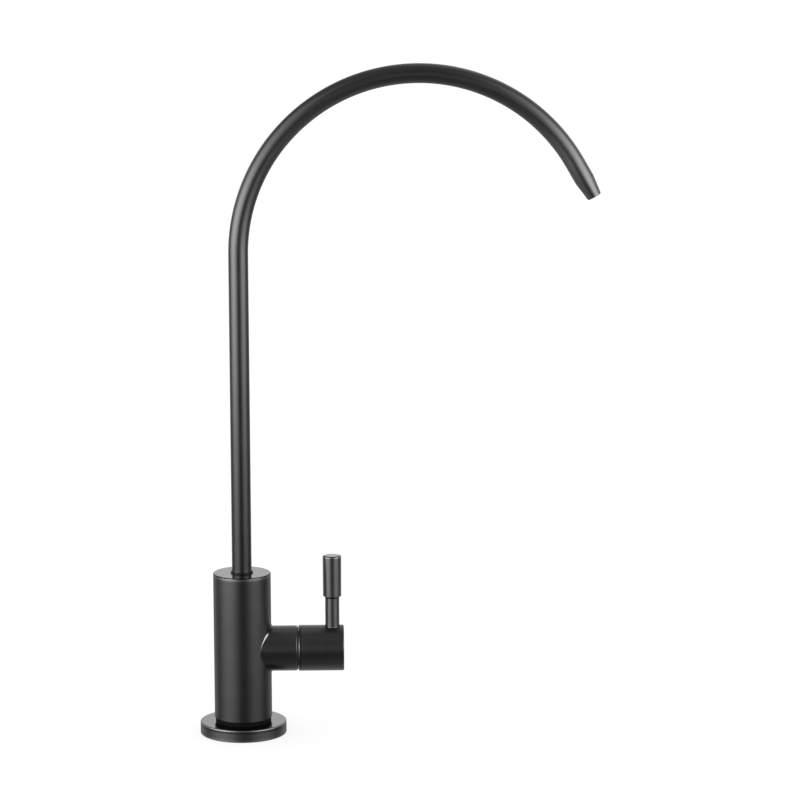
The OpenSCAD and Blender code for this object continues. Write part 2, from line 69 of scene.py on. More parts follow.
# %% Wires and graphs
class Wire:
    """A number or vector on its way through a node tree."""

    def __init__(self, graph, socket):
        self.graph = graph
        self.socket = socket

    def __add__(self, other):
        return self.graph.math("ADD", self, other)

    __radd__ = __add__

    def __sub__(self, other):
        return self.graph.math("SUBTRACT", self, other)

    def __rsub__(self, other):
        return self.graph.math("SUBTRACT", other, self)

    def __mul__(self, other):
        return self.graph.math("MULTIPLY", self, other)

    __rmul__ = __mul__

    def __truediv__(self, other):
        return self.graph.math("DIVIDE", self, other)

    def __rtruediv__(self, other):
        return self.graph.math("DIVIDE", other, self)

    def __pow__(self, power):
        return self.graph.math("POWER", self, power)

    def __neg__(self):
        return self * -1

    def __abs__(self):
        return self.graph.math("ABSOLUTE", self)

    def least(self, other):
        return self.graph.math("MINIMUM", self, other)

    def most(self, other):
        return self.graph.math("MAXIMUM", self, other)

    def sin(self):
        return self.graph.math("SINE", self)

    def cos(self):
        return self.graph.math("COSINE", self)

    def rise(self, start, end):
        """0 before start, 1 after end, with a smooth step between."""
        sockets = {"Value": self, "From Min": start, "From Max": end}
        return self.graph.add("ShaderNodeMapRange", {"interpolation_type": "SMOOTHSTEP"}, sockets)

    def xyz(self):
        parts = self.graph.add("ShaderNodeSeparateXYZ", None, {0: self})
        return [Wire(self.graph, socket) for socket in parts.socket.node.outputs]


class Graph:
    """A node tree, with one way to add a node to it."""

    def __init__(self, tree):
        self.tree = tree

    def add(self, kind, settings=None, sockets=None, out=0):
        node = self.tree.nodes.new(kind)
        for name, value in (settings or {}).items():
            setattr(node, name, value)
        for key, value in (sockets or {}).items():
            self.feed(node.inputs[key], value)
        return Wire(self, node.outputs[out]) if node.outputs else node

    def feed(self, socket, value):
        if isinstance(value, Wire):
            self.tree.links.new(value.socket, socket)
        else:
            socket.default_value = value

    def math(self, operation, *values):
        return self.add("ShaderNodeMath", {"operation": operation}, dict(enumerate(values)))

    def vector(self, operation, *values, **named):
        sockets = {**dict(enumerate(values)), **named}
        return self.add("ShaderNodeVectorMath", {"operation": operation}, sockets)

    def join(self, x, y, z):
        return self.add("ShaderNodeCombineXYZ", None, {0: x, 1: y, 2: z})

    def mix(self, kind, factor, first, second):
        """A Mix node has sockets of its own for each kind of data."""
        a, b, out = {"VECTOR": (4, 5, 1), "RGBA": (6, 7, 2)}[kind]
        sockets = {0: factor, a: first, b: second}
        return self.add("ShaderNodeMix", {"data_type": kind}, sockets, out)


print("wires ready")

# %% [markdown]
# ## Camera
#
# The picture is taken from a little above the worktop with a long lens, so upright lines stay
# upright. The camera is placed by what it looks at, how far off it stands and how it is tilted.

# %% The camera
look_at = Vector((82.7, 0, 176.3)) * MM
camera_distance = 2.0
camera_pitch = math.radians(10.55)
camera_yaw = math.radians(1.35)
camera_roll = math.radians(-0.23)
focal_pixels = 3870
image_pixels = 800
sensor_width = 36


def make_camera():
    ahead = Vector((
        math.sin(camera_yaw) * math.cos(camera_pitch),
        math.cos(camera_yaw) * math.cos(camera_pitch),
        -math.sin(camera_pitch),
    ))
    level = ahead.cross(Vector((0, 0, 1))).normalized()
    above = level.cross(ahead)
    right = level * math.cos(camera_roll) + above * math.sin(camera_roll)
    up = above * math.cos(camera_roll) - level * math.sin(camera_roll)
    data = bpy.data.cameras.new("camera")
    data.sensor_width = sensor_width
    data.lens = focal_pixels / image_pixels * sensor_width
    camera = bpy.data.objects.new("camera", data)
    turn = Matrix((right, up, -ahead)).transposed().to_4x4()
    camera.matrix_world = Matrix.Translation(look_at - ahead * camera_distance) @ turn
    bpy.context.scene.collection.objects.link(camera)
    bpy.context.scene.camera = camera
    return data


camera_data = make_camera()
print(f"camera: {camera_data.lens:.0f} mm lens at {camera_distance:g} m")

# %% [markdown]
# ## Studio
#
# Dark satin metal shows nothing but what it reflects, so the light is the look. A white sweep
# stands behind the tap, brightest near the horizon and lit again higher up on the right. The room
# behind the camera is dark, and a tall soft box stands at the left front and the right front. Each
# round piece then has light edges, a dark middle and a light band on either side. The floor is
# pale and takes only a soft shadow.

# %% The floor
floor_half = 30.0
floor_drop = 0.05 * MM
floor_white = 0.20
floor_glow = 0.785


def make_floor():
    mesh = bpy.data.meshes.new("floor")
    corners = [(-1, -1), (1, -1), (1, 1), (-1, 1)]
    places = [(floor_half * x, floor_half * y, -floor_drop) for x, y in corners]
    mesh.from_pydata(places, [], [(0, 1, 2, 3)])
    floor = bpy.data.objects.new("floor", mesh)
    bpy.context.scene.collection.objects.link(floor)
    floor.visible_glossy = False
    material = bpy.data.materials.new("pale_floor")
    material.use_nodes = True
    shader = material.node_tree.nodes["Principled BSDF"]
    shader.inputs["Base Color"].default_value = (floor_white, floor_white, floor_white, 1)
    shader.inputs["Emission Color"].default_value = (1, 1, 1, 1)
    shader.inputs["Emission Strength"].default_value = floor_glow
    shader.inputs["Specular IOR Level"].default_value = 0
    shader.inputs["Roughness"].default_value = 1
    mesh.materials.append(material)


make_floor()
print(f"floor {2 * floor_half:g} m wide")

# %% [markdown]
# The surroundings are painted on the sky by direction. A bearing is 0 towards the camera and 180
# degrees straight behind the tap. A height is 0 at the horizon and 1 overhead. Only reflections
# see this picture. All other light is an even daylight.

# %% How bright the surroundings are
daylight = 1.27
front_low = 0.105
front_high = 0.29
front_top = 0.46
front_under = 0.38
side_under = 0.7
sweep_level = 0.5
sweep_horizon = 1.25
sweep_right = 0.7
sweep_foot = 0.6
sweep_shade = 0.2
sweep_floor = 0.7
print(f"sweep {sweep_level:g}, horizon {sweep_horizon:g}, room {front_low:g} to {front_high:g}")

# %% The sweep and the dark room
side_bearing = (math.radians(50), math.radians(90))
sweep_bearing = (math.radians(95), math.radians(130))
shade_bearing = (math.radians(145), math.radians(172))
front_rise = (-0.15, 0.2)
ceiling_rise = (0.45, 0.95)
under_fall = (0.4, 0.9)
side_fall = (0.3, 0.6)
floor_fall = (0.35, 0.6)
foot_rise = (-0.08, 0.04)
horizon_rise = (0.0, 0.1)
horizon_fade = (0.24, 0.4)
right_across = (-0.4, 0.3)
right_rise = (0.2, 0.45)


def make_sweep():
    world = bpy.data.worlds.new("studio")
    bpy.context.scene.world = world
    world.use_nodes = True
    world.cycles.sampling_method = "NONE"
    world.node_tree.nodes.clear()
    graph = Graph(world.node_tree)
    x, y, z = graph.add("ShaderNodeTexCoord", out="Object").xyz()
    bearing = abs(graph.math("ARCTAN2", x, -y))
    front = front_low + (front_high - front_low) * z.rise(*front_rise)
    front = front + (front_top - front_high) * z.rise(*ceiling_rise)
    front = front + (front_under - front_low) * (-z).rise(*under_fall)
    front = front + side_under * bearing.rise(*side_bearing) * (-z).rise(*side_fall)
    foot = sweep_foot + (sweep_shade - sweep_foot) * bearing.rise(*shade_bearing)
    foot = foot + (sweep_floor - foot) * (-z).rise(*floor_fall)
    sweep = foot + (sweep_level - foot) * z.rise(*foot_rise)
    horizon = z.rise(*horizon_rise) * (1 - z.rise(*horizon_fade))
    sweep = sweep + (sweep_horizon - sweep_level) * horizon
    sweep = sweep + sweep_right * x.rise(*right_across) * z.rise(*right_rise)
    behind = bearing.rise(*sweep_bearing)
    mirrored = front * (1 - behind) + sweep * behind
    path = graph.add("ShaderNodeLightPath", out="Is Glossy Ray")
    strength = mirrored * path + daylight * (1 - path)
    light = graph.add("ShaderNodeBackground", None, {"Color": (1, 1, 1, 1), "Strength": strength})
    graph.add("ShaderNodeOutputWorld", None, {"Surface": light})
    return world


studio = make_sweep()
print(f"{studio.name}: the sweep is full from {math.degrees(sweep_bearing[1]):g} degrees on")

# %% [markdown]
# Each soft box is a card that glows, brightest in its middle. It is dimmer below the worktop's
# level, where a real mirror image shows the table. Towards its top it gets dimmer and narrower and
# leans outwards. The camera doesn't see it, and it lights nothing but reflections, so the floor
# stays even.

# %% The soft boxes
box_distance = 0.9
box_low = -0.6
box_high = 1.4
box_lean = 0.2
box_taper = 0.15
upper_rise = (0.2, 0.7)
table_rise = (-0.085, 0.125)
fade_start = 0.25
top_glow = 0.28
soft_boxes = {
    "left_box": {
        "bearing": -59, "spread": 54, "strength": 8.6, "table_glow": 0.125, "fade_end": 0.95,
    },
    "right_box": {
        "bearing": 55, "spread": 47, "strength": 6.0, "table_glow": 0.105, "fade_end": 1.4,
    },
}


def glow(strength, half_width, lean, table_glow, fade_end):
    material = bpy.data.materials.new("glow")
    material.use_nodes = True
    material.node_tree.nodes.clear()
    graph = Graph(material.node_tree)
    x, _, z = graph.add("ShaderNodeTexCoord", out="Object").xyz()
    upper = z.rise(*upper_rise)
    off_middle = abs(x - lean * upper) / (half_width * (1 - box_taper * upper))
    across = 1 - off_middle.rise(0, 1)
    height = table_glow + (1 - table_glow) * z.rise(*table_rise)
    height = height - (1 - top_glow) * z.rise(fade_start, fade_end)
    emission = graph.add("ShaderNodeEmission", None, {"Strength": strength * across * height})
    graph.add("ShaderNodeOutputMaterial", None, {"Surface": emission})
    return material


def make_soft_box(name, bearing, spread, strength, table_glow, fade_end):
    half = box_distance * math.tan(math.radians(spread))
    mesh = bpy.data.meshes.new(name)
    corners = [(-half, 0, box_low), (half, 0, box_low), (half, 0, box_high), (-half, 0, box_high)]
    mesh.from_pydata(corners, [], [(0, 1, 2, 3)])
    lean = math.copysign(box_lean, bearing)
    mesh.materials.append(glow(strength, half, lean, table_glow, fade_end))
    card = bpy.data.objects.new(name, mesh)
    turn = Matrix.Rotation(math.radians(bearing) + camera_yaw, 4, "Z")
    card.matrix_world = turn @ Matrix.Translation((0, -box_distance, 0))
    card.visible_camera = False
    card.visible_diffuse = False
    card.visible_shadow = False
    bpy.context.scene.collection.objects.link(card)


for box_name, settings in soft_boxes.items():
    make_soft_box(box_name, **settings)
bpy.context.scene.view_settings.view_transform = "Standard"
print(f"{len(soft_boxes)} soft boxes at {box_distance:g} m")

# %% [markdown]
# ## Turned metal
#
# All the metal pieces are turned on a lathe. The tool leaves a fine grain that runs round each
# piece's own axis, so the noise is stretched round that axis and squeezed along it. It varies the
# colour and roughness a little and lifts the surface by a few micrometres. Flat ends are smoother
# than sides. Rims can carry a painted highlight, a lighter ring of colour, and the strips beside
# them painted shade, a darker ring. Each is found by its place along the axis. A finish reads all
# its lengths in millimetres.

# %% Helpers for finishes
noise_roughness = 0.55
fine_detail = 3.0
soft_detail = 2.0


def new_finish(name):
    material = bpy.data.materials.new(name)
    material.use_nodes = True
    return material, Graph(material.node_tree), material.node_tree.nodes["Principled BSDF"]


def dress(graph, shader, **sockets):
    for name, value in sockets.items():
        graph.feed(shader.inputs[name.replace("_", " ")], value)


def place_mm(graph):
    return [part / MM for part in graph.add("ShaderNodeTexCoord", out="Object").xyz()]


def noise(graph, x, y, z, detail):
    place = {"Vector": graph.join(x, y, z), "Scale": 1.0}
    sockets = {**place, "Detail": detail, "Roughness": noise_roughness}
    return graph.add("ShaderNodeTexNoise", {"noise_dimensions": "3D"}, sockets)


def swing(pattern, amount):
    """How far a pattern is above or below its middle."""
    return (pattern - 0.5) * amount


def mix_colour(graph, factor, first, second):
    first, second = (tint if isinstance(tint, Wire) else (*tint, 1) for tint in (first, second))
    return graph.mix("RGBA", factor, first, second)


def bump(graph, height, depth_mm, strength):
    sockets = {"Height": height, "Distance": depth_mm * MM, "Strength": strength}
    return graph.add("ShaderNodeBump", None, sockets)


print("finish helpers ready")

# %% A turned finish
grain_along = 1.6
grain_around = 0.05
cloud_size = 0.08
grain_tint = 0.7
cloud_tint = 0.6
grain_rough = 0.1
cloud_rough = 0.05
grain_depth = 0.02
grain_lift = 0.06
flat_reach = (0.02, 0.1)
flat_rough = 0.14
axis_last = {"x": (1, 2, 0), "z": (0, 1, 2)}


def turned(name, axis, dark, light, rough, centre=(0, 0, 0), flats=(), bands=(), coarse=1.0):
    """Turned metal about an axis through centre. flats are places along the axis that are
    polished. bands are (start, full, fade, end, tint): rings of another tint between places on
    it, which paint highlights, reflections and shade."""
    material, graph, shader = new_finish(name)
    place = [part - middle for part, middle in zip(place_mm(graph), centre)]
    first, second, along = (place[i] for i in axis_last[axis])
    across = (first * grain_around, second * grain_around)
    grain = noise(graph, *across, along * grain_along, fine_detail)
    cloud = noise(graph, *(part * cloud_size for part in place), soft_detail)
    shade = 0.5 + swing(grain, grain_tint * coarse) + swing(cloud, cloud_tint)
    colour = mix_colour(graph, shade, dark, light)
    roughness = rough + swing(grain, grain_rough * coarse) + swing(cloud, cloud_rough)
    for flat in flats:
        polish = 1 - abs(along - flat).rise(*flat_reach)
        roughness = roughness + (flat_rough - rough) * polish
    for start, full, fade, end, tint in bands:
        ring = along.rise(start, full) * (1 - along.rise(fade, end))
        colour = mix_colour(graph, ring, colour, tint)
    dress(graph, shader, Base_Color=colour, Roughness=roughness, Metallic=1.0,
          Normal=bump(graph, grain, grain_depth, grain_lift * coarse))
    return material


print("turned finish ready")

# %% [markdown]
# ## Graphite film
#
# The metal that shows is coated in a thin dark satin film, which reflects little when it is seen
# straight on and much at a glancing angle. The lever's stem and grip have a brighter film. The
# rims carry painted highlights, lighter rings of colour, and the base's foot a painted reflection
# of the floor. The strips beside the rims carry painted shade, darker rings. A painted dark line
# runs round the top of body and grip, a painted reflection of the dark ceiling on the turned edge,
# and a painted shadow runs round the stem where it goes into the grip.

# %% The tints of the film
film = ((0.049, 0.049, 0.051), (0.060, 0.060, 0.062))
base_film = ((0.071, 0.071, 0.073), (0.085, 0.085, 0.087))
lever_film = ((0.105, 0.105, 0.107), (0.120, 0.120, 0.122))
# Painted light: these tints paint highlights on rims, a reflection of the floor on the base's foot,
# and shade beside rims and under edges.
body_rim_highlight = (0.15, 0.15, 0.153)
floor_reflection_tint = (0.14, 0.14, 0.142)
base_rim_highlight = (0.17, 0.17, 0.173)
base_shade = (0.042, 0.042, 0.044)
hub_rim_highlight = (0.20, 0.20, 0.203)
hub_shade = (0.022, 0.022, 0.023)
lever_rim_highlight = (0.21, 0.21, 0.214)
painted_dark_line = (0.008, 0.008, 0.008)
satin = 0.34
lever_satin = 0.30
lever_coarse = 0.2
print(f"satin {satin:g}, on the lever {lever_satin:g}")

# %% Where the edges are
clear_of_body = 1.2


def box_mm(name):
    return [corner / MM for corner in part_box(name)]


base_low, base_high = box_mm("base_plate")
_, body_high = box_mm("valve_body")
hub_low, hub_high = box_mm("lever_hub")
stem_low, stem_high = box_mm("lever_stem")
grip_low, grip_high = box_mm("lever_grip")
pivot = Vector(joints["lever_turn"]["pos_m"]) / MM
stem_axis = ((stem_low.x + stem_high.x) / 2, 0, 0)
boss_axis = (0, 0, pivot.z)
body_r = body_high.y
body_points = [vertex.co / MM for vertex in nodes["valve_body"].data.vertices]
boss_r = max(point.y for point in body_points if point.x > clear_of_body * body_r)
print(f"body {2 * body_r:.1f} mm and boss {2 * boss_r:.1f} mm across")


# %% The graphite pieces
def band(place, start, full, fade, end, tint):
    """A ring of another tint, by its distances from a place on the axis."""
    return (place + start, place + full, place + fade, place + end, tint)


graphite = {
    "base_plate": turned(
        "graphite_base", "z", *base_film, satin, flats=[base_high.z], bands=[
            # Painted highlight: a lighter ring of colour on the base's top rim.
            band(base_high.z, -0.8, -0.45, -0.35, -0.15, base_rim_highlight),
            # Painted shade: a darker ring just below the base's top rim.
            band(base_high.z, -2.6, -1.2, -0.9, -0.7, base_shade),
            # Painted reflection: the base's lowest 2 mm are lighter, as if they mirrored the white
            # floor.
            band(base_low.z, -0.2, -0.1, 0.2, 2.2, floor_reflection_tint),
        ]),
    "valve_body": turned(
        "graphite_body", "z", *film, satin, flats=[body_high.z], bands=[
            # Painted highlight: a lighter ring of colour on the body's rounded top rim.
            band(body_high.z, -2.2, -0.6, -0.55, -0.45, body_rim_highlight),
            # Painted reflection: a dark line where the top edge turns to the dark ceiling.
            band(body_high.z, -0.52, -0.44, -0.1, -0.02, painted_dark_line),
        ]),
    "lever_hub": turned(
        "graphite_hub", "x", *film, satin, boss_axis, flats=[hub_high.x], bands=[
            # Painted highlight: a lighter ring on the hub's rim in the groove.
            band(hub_low.x, 0.05, 0.15, 0.25, 0.4, hub_rim_highlight),
            # Painted shade: a dark strip just beside the hub's rim.
            band(hub_low.x, 0.35, 0.5, 0.8, 1.6, hub_shade),
        ]),
    "lever_stem": turned(
        "graphite_stem", "z", *lever_film, lever_satin, stem_axis, coarse=lever_coarse, bands=[
            # Painted highlight: a lighter ring at the stem's foot.
            band(hub_high.z, -0.8, -0.6, -0.55, 0.2, lever_rim_highlight),
            # Painted shadow: a dark band on the stem just under the grip.
            band(grip_low.z, -1.05, -0.8, 0, 1, painted_dark_line),
        ]),
    "lever_grip": turned(
        "graphite_grip", "z", *lever_film, lever_satin, stem_axis, coarse=lever_coarse,
        flats=[grip_high.z], bands=[
            # Painted highlight: a lighter ring on the corner under the grip's bevel.
            band(grip_high.z, -0.95, -0.5, -0.45, -0.35, lever_rim_highlight),
            # Painted reflection: the bevel is darkened, as if it mirrored the dark ceiling.
            band(grip_high.z, -0.4, -0.34, -0.05, -0.01, painted_dark_line),
        ]),
}
print(f"{len(graphite)} graphite finishes")

# %% [markdown]
# ## Spout
#
# The gooseneck is a straight tube that is necked at one end and then bent. It is made here in the
# same order: an outline of the wall is turned into a straight tube, and the tube is bent. The
# outline is the object's own row of points, each a radius and a length along the tube. A grid takes
# one column for every point and one row for every step round the axis. The turned tube keeps its
# angle and length as an attribute, so that the brushed grain follows the bend.

# %% Helpers for geometry trees
weld = 0.002 * MM


def new_tree(name, counts, measures):
    """A tree with named inputs, and a wire for each of them."""
    tree = bpy.data.node_groups.new(name, "GeometryNodeTree")
    inputs = {"Geometry": "Geometry", "Material": "Material"}
    inputs.update(dict.fromkeys(counts, "Int"))
    inputs.update(dict.fromkeys(measures, "Float"))
    for label, kind in inputs.items():
        tree.interface.new_socket(label, in_out="INPUT", socket_type=f"NodeSocket{kind}")
    tree.interface.new_socket("Geometry", in_out="OUTPUT", socket_type="NodeSocketGeometry")
    graph = Graph(tree)
    start = graph.add("NodeGroupInput").socket.node
    return graph, {socket.name: Wire(graph, socket) for socket in start.outputs if socket.name}


def grid_cells(graph, rows, columns):
    """A grid, and the row and column of each of its points."""
    sockets = {"Vertices X": rows, "Vertices Y": columns}
    grid = graph.add("GeometryNodeMeshGrid", None, sockets)
    index = graph.add("GeometryNodeInputIndex")
    row = graph.math("FLOOR", (index + 0.5) / columns)
    return grid, row, index - row * columns


def end_tree(graph, grid, place, material):
    """Moves the grid's points to their place and welds the seam that this closes."""
    shaped = graph.add("GeometryNodeSetPosition", None, {"Geometry": grid, "Position": place})
    sockets = {"Geometry": shaped, "Distance": weld}
    closed = graph.add("GeometryNodeMergeByDistance", None, sockets)
    smooth = graph.add("GeometryNodeSetShadeSmooth", None, {"Geometry": closed})
    whole = graph.add("GeometryNodeRealizeInstances", None, {"Geometry": smooth})
    dressed = graph.add("GeometryNodeSetMaterial", None, {"Geometry": whole, "Material": material})
    graph.add("NodeGroupOutput", None, {0: dressed})


print("tree helpers ready")

# %% A tree that turns and bends
flank_rise = (0.1, 0.9)
on_points = {"data_type": "FLOAT_VECTOR", "domain": "POINT"}


def cut_thread(graph, size, radius, along, share):
    """The radius with a thread cut into it, where the outline is at the thread's radius."""
    start, end, pitch = size["Thread Start"], size["Thread End"], size["Pitch"]
    on_thread = along.rise(start, start + pitch) * (1 - along.rise(end - pitch, end))
    on_thread = on_thread * graph.math("GREATER_THAN", radius, size["Thread Radius"])
    flank = graph.math("PINGPONG", along / pitch - share, 0.5) * 2
    return radius - size["Depth"] * on_thread * flank.rise(*flank_rise)


def bend_tube(graph, size, radius, angle, along):
    """The place of a point on a tube that runs straight, then round a bend, then straight on."""
    straight, bend = size["Straight"], size["Bend Radius"]
    arc = bend * size["Bend Angle"]
    turn = (along - straight).most(0).least(arc) / bend
    tail = (along - straight - arc).most(0)
    off_axis = radius * angle.cos()
    inward = bend * (1 - turn.cos()) + tail * turn.sin() + off_axis * turn.cos()
    upward = along.least(straight) + bend * turn.sin() + tail * turn.cos() - off_axis * turn.sin()
    return graph.join(inward + size["Side"], radius * angle.sin(), upward + size["Foot"])


def make_turning_tree():
    graph, size = new_tree("turned_and_bent", ["Sides", "Points"], [
        "Side", "Foot", "Straight", "Bend Radius", "Bend Angle",
        "Thread Radius", "Thread Start", "Thread End", "Pitch", "Depth",
    ])
    grid, row, column = grid_cells(graph, size["Sides"] + 1, size["Points"])
    here = graph.add("GeometryNodeInputPosition")
    sockets = {"Geometry": size["Geometry"], "Value": here, "Index": column}
    radius, _, along = graph.add("GeometryNodeSampleIndex", on_points, sockets).xyz()
    share = row / size["Sides"]
    angle = share * math.tau
    radius = cut_thread(graph, size, radius, along, share)
    place = bend_tube(graph, size, radius, angle, along)
    kept = graph.join(angle.cos(), angle.sin(), along)
    sockets = {"Geometry": grid, "Name": "along", "Value": kept}
    marked = graph.add("GeometryNodeStoreNamedAttribute", on_points, sockets)
    end_tree(graph, marked, place, size["Material"])
    return graph.tree


turning_tree = make_turning_tree()
print(f"turning tree of {len(turning_tree.nodes)} nodes")


# %% Growing a piece
def grow(name, tree, sizes, points, body, sharp=40):
    """Runs a tree on a row of points, and keeps the result as a plain mesh that rides on a body."""
    row = bpy.data.meshes.new(f"{name}_outline")
    row.from_pydata(points, [], [])
    piece = bpy.data.objects.new(name, row)
    bpy.context.scene.collection.objects.link(piece)
    modifier = piece.modifiers.new("grow", "NODES")
    modifier.node_group = tree
    for item in tree.interface.items_tree:
        if item.in_out == "INPUT" and item.name in sizes:
            modifier[item.identifier] = sizes[item.name]
    graph = bpy.context.evaluated_depsgraph_get()
    grown = piece.evaluated_get(graph)
    mesh = bpy.data.meshes.new_from_object(grown, preserve_all_data_layers=True, depsgraph=graph)
    piece.modifiers.remove(modifier)
    piece.data = mesh
    bpy.data.meshes.remove(row)
    shell = bmesh.new()
    shell.from_mesh(mesh)
    bmesh.ops.recalc_face_normals(shell, faces=shell.faces)
    shell.to_mesh(mesh)
    open_edges = sum(not edge.is_manifold for edge in shell.edges)
    volume = shell.calc_volume(signed=True) / MM ** 3
    shell.free()
    mesh.set_sharp_from_angle(angle=math.radians(sharp))
    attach(piece, body)
    print(f"{name}: {len(mesh.polygons)} faces, {open_edges} open edges, {volume:.0f} mm3")
    return piece


def spaced(start, end, steps):
    return [start + (end - start) * i / steps for i in range(steps + 1)]


# A metre is longer than any piece here, so such a bend or thread is never reached.
not_bent = {"Straight": 1.0, "Bend Radius": 1.0, "Bend Angle": 1.0}
not_threaded = {"Thread Radius": 1.0, "Pitch": 1.0}
print("ready to grow pieces")

# %% The spout's film
spout_film = ((0.050, 0.050, 0.052), (0.061, 0.061, 0.063))
spout_foot = (0.044, 0.044, 0.046)
# Painted highlight: the tube's film is lighter near the mouth.
spout_tip_highlight = (0.083, 0.083, 0.085)
foot_end = 160
tip_highlight_rise = (368, 410)
brush_around = 9
brush_along = 0.05
brush_rough = 0.08
cloud_around = 0.4


def brushed_film(name):
    """Film on brushed tube: the grain runs along the tube, by the angle and length that it keeps.
    The film is darkest at the foot, and near the mouth it is painted lighter, a painted highlight."""
    material, graph, shader = new_finish(name)
    kept = graph.add("ShaderNodeAttribute", {"attribute_name": "along"}, None, "Vector")
    round_x, round_y, along = kept.xyz()
    length = along / MM
    around = (round_x * brush_around, round_y * brush_around)
    brush = noise(graph, *around, length * brush_along, fine_detail)
    around = (round_x * cloud_around, round_y * cloud_around)
    cloud = noise(graph, *around, length * cloud_size, soft_detail)
    shade = 0.5 + swing(brush, grain_tint) + swing(cloud, cloud_tint)
    colour = mix_colour(graph, shade, *spout_film)
    colour = mix_colour(graph, length.rise(0, foot_end), spout_foot, colour)
    # Painted highlight: lighter towards the mouth.
    colour = mix_colour(graph, length.rise(*tip_highlight_rise), colour, spout_tip_highlight)
    roughness = satin + swing(brush, brush_rough) + swing(cloud, cloud_rough)
    dress(graph, shader, Base_Color=colour, Roughness=roughness, Metallic=1.0,
          Normal=bump(graph, brush, grain_depth, grain_lift))
    return material


graphite_spout = brushed_film("graphite_spout")
# The print gives where the painted highlight near the mouth begins.
print(f"{graphite_spout.name} is darkest below {foot_end} mm and rubbed from {tip_highlight_rise[0]} mm")

# %% The spout
tube_low, tube_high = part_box("spout_tube")
tube_r = -tube_low.x
tube_wall = 1 * MM
bend_r = 92.5 * MM
bend_angle = math.radians(150)
tail_l = 10.1 * MM
tip_l = 10.2 * MM
mouth_r = 3.8 * MM
lip_edge = 0.15 * MM
riser_l = tube_high.z - tube_r - bend_r - tube_low.z
riser_steps = 12
bend_steps = 120
lip_steps = 6


def spout_outline():
    """The wall, up its outside, round the lip and back down the bore, as radius and length."""
    bend_end = riser_l + bend_r * bend_angle
    tip_start = bend_end + tail_l
    mouth = tip_start + tip_l
    run = spaced(0, riser_l, riser_steps) + spaced(riser_l, bend_end, bend_steps)[1:]
    run += [tip_start]
    outside = [(tube_r, length) for length in run]
    lip = []
    for turn in spaced(0, math.pi / 2, lip_steps):
        inset = lip_edge * (1 - math.cos(turn))
        short = lip_edge * (1 - math.sin(turn))
        lip.append((mouth_r - inset, mouth - short))
    bore = [(mouth_r - tube_wall, mouth)]
    bore += [(tube_r - tube_wall, length) for length in reversed(run)]
    return [(r, 0, length) for r, length in outside + lip + bore + outside[:1]]


wall = spout_outline()
spout = grow("gooseneck", turning_tree, {
    "Sides": 72, "Points": len(wall), "Foot": tube_low.z, "Straight": riser_l,
    "Bend Radius": bend_r, "Bend Angle": bend_angle, **not_threaded, "Material": graphite_spout,
}, wall, "spout")
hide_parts("spout_tube")

# %% [markdown]
# ## Shank
#
# The shank is a threaded pipe. The same tree turns it: its outline is a plain pipe, and the tree
# cuts the thread by taking a little off the radius, in step with the length and the angle.

# %% The threaded shank
shank_low, shank_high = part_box("shank")
shank_r = shank_high.x
inlet_r = 5.55 * MM
inlet_l = 18 * MM
inlet_bore_r = 3.25 * MM
inlet_bore_l = 15 * MM
water_bore_r = 2.6 * MM
chamfer = 0.5 * MM
pitch = 1.25 * MM
thread_depth = 0.6 * MM
just_under = 0.01 * MM
steps_a_turn = 8
brass_tints = ((0.56, 0.38, 0.16), (0.66, 0.47, 0.22))
brass_rough = 0.26


def shank_outline():
    foot, top = shank_low.z, shank_high.z
    thread_start, thread_end = foot + inlet_l, top - chamfer
    steps = round((thread_end - thread_start) / pitch * steps_a_turn)
    outside = [(inlet_r - chamfer, foot), (inlet_r, foot + chamfer), (inlet_r, thread_start)]
    outside += [(shank_r, length) for length in spaced(thread_start, thread_end, steps)]
    outside += [(shank_r - chamfer, top)]
    bore_step = foot + inlet_bore_l
    bore = [(water_bore_r, top), (water_bore_r, bore_step)]
    bore += [(inlet_bore_r, bore_step), (inlet_bore_r, foot)]
    return [(r, 0, length) for r, length in outside + bore + outside[:1]]


brass_upright = turned("brass_upright", "z", *brass_tints, brass_rough)
pipe = shank_outline()
shank = grow("threaded_shank", turning_tree, {
    "Sides": 48, "Points": len(pipe), **not_bent, "Thread Radius": shank_r - just_under,
    "Thread Start": shank_low.z + inlet_l, "Thread End": shank_high.z - chamfer,
    "Pitch": pitch, "Depth": thread_depth, "Material": brass_upright,
}, pipe, "tap_body", sharp=60)
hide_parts("shank")

# %% [markdown]
# ## Lever grip
#
# The grip is a sleeve with a broad shallow bevel at its top and a crisp foot. Light catches on the
# corner under the bevel, so this corner needs a true rounding, with one more point on either side
# that keeps the smooth shading out of the long flanks. The same tree turns the sleeve from an
# outline that starts and ends on the axis.

# %% The grip
grip_bevel_w = 1.0
grip_bevel_h = 0.38
grip_crown_ease = 0.15
grip_shoulder_ease = 0.25
grip_foot_ease = 0.15
grip_foot_r = 4.75
grip_bore_r = 2.55
grip_bore_l = 10.5


def eased(before, corner, after, reach, steps=4):
    """A corner of an outline as a small curve, with a point more before and after it."""
    back = (before - corner).normalized() * reach
    on = (after - corner).normalized() * reach
    start, end = corner + back, corner + on
    curve = [start.lerp(corner, s).lerp(corner.lerp(end, s), s) for s in spaced(0, 1, steps)]
    return [start + back / 2, *curve, end + on / 2]


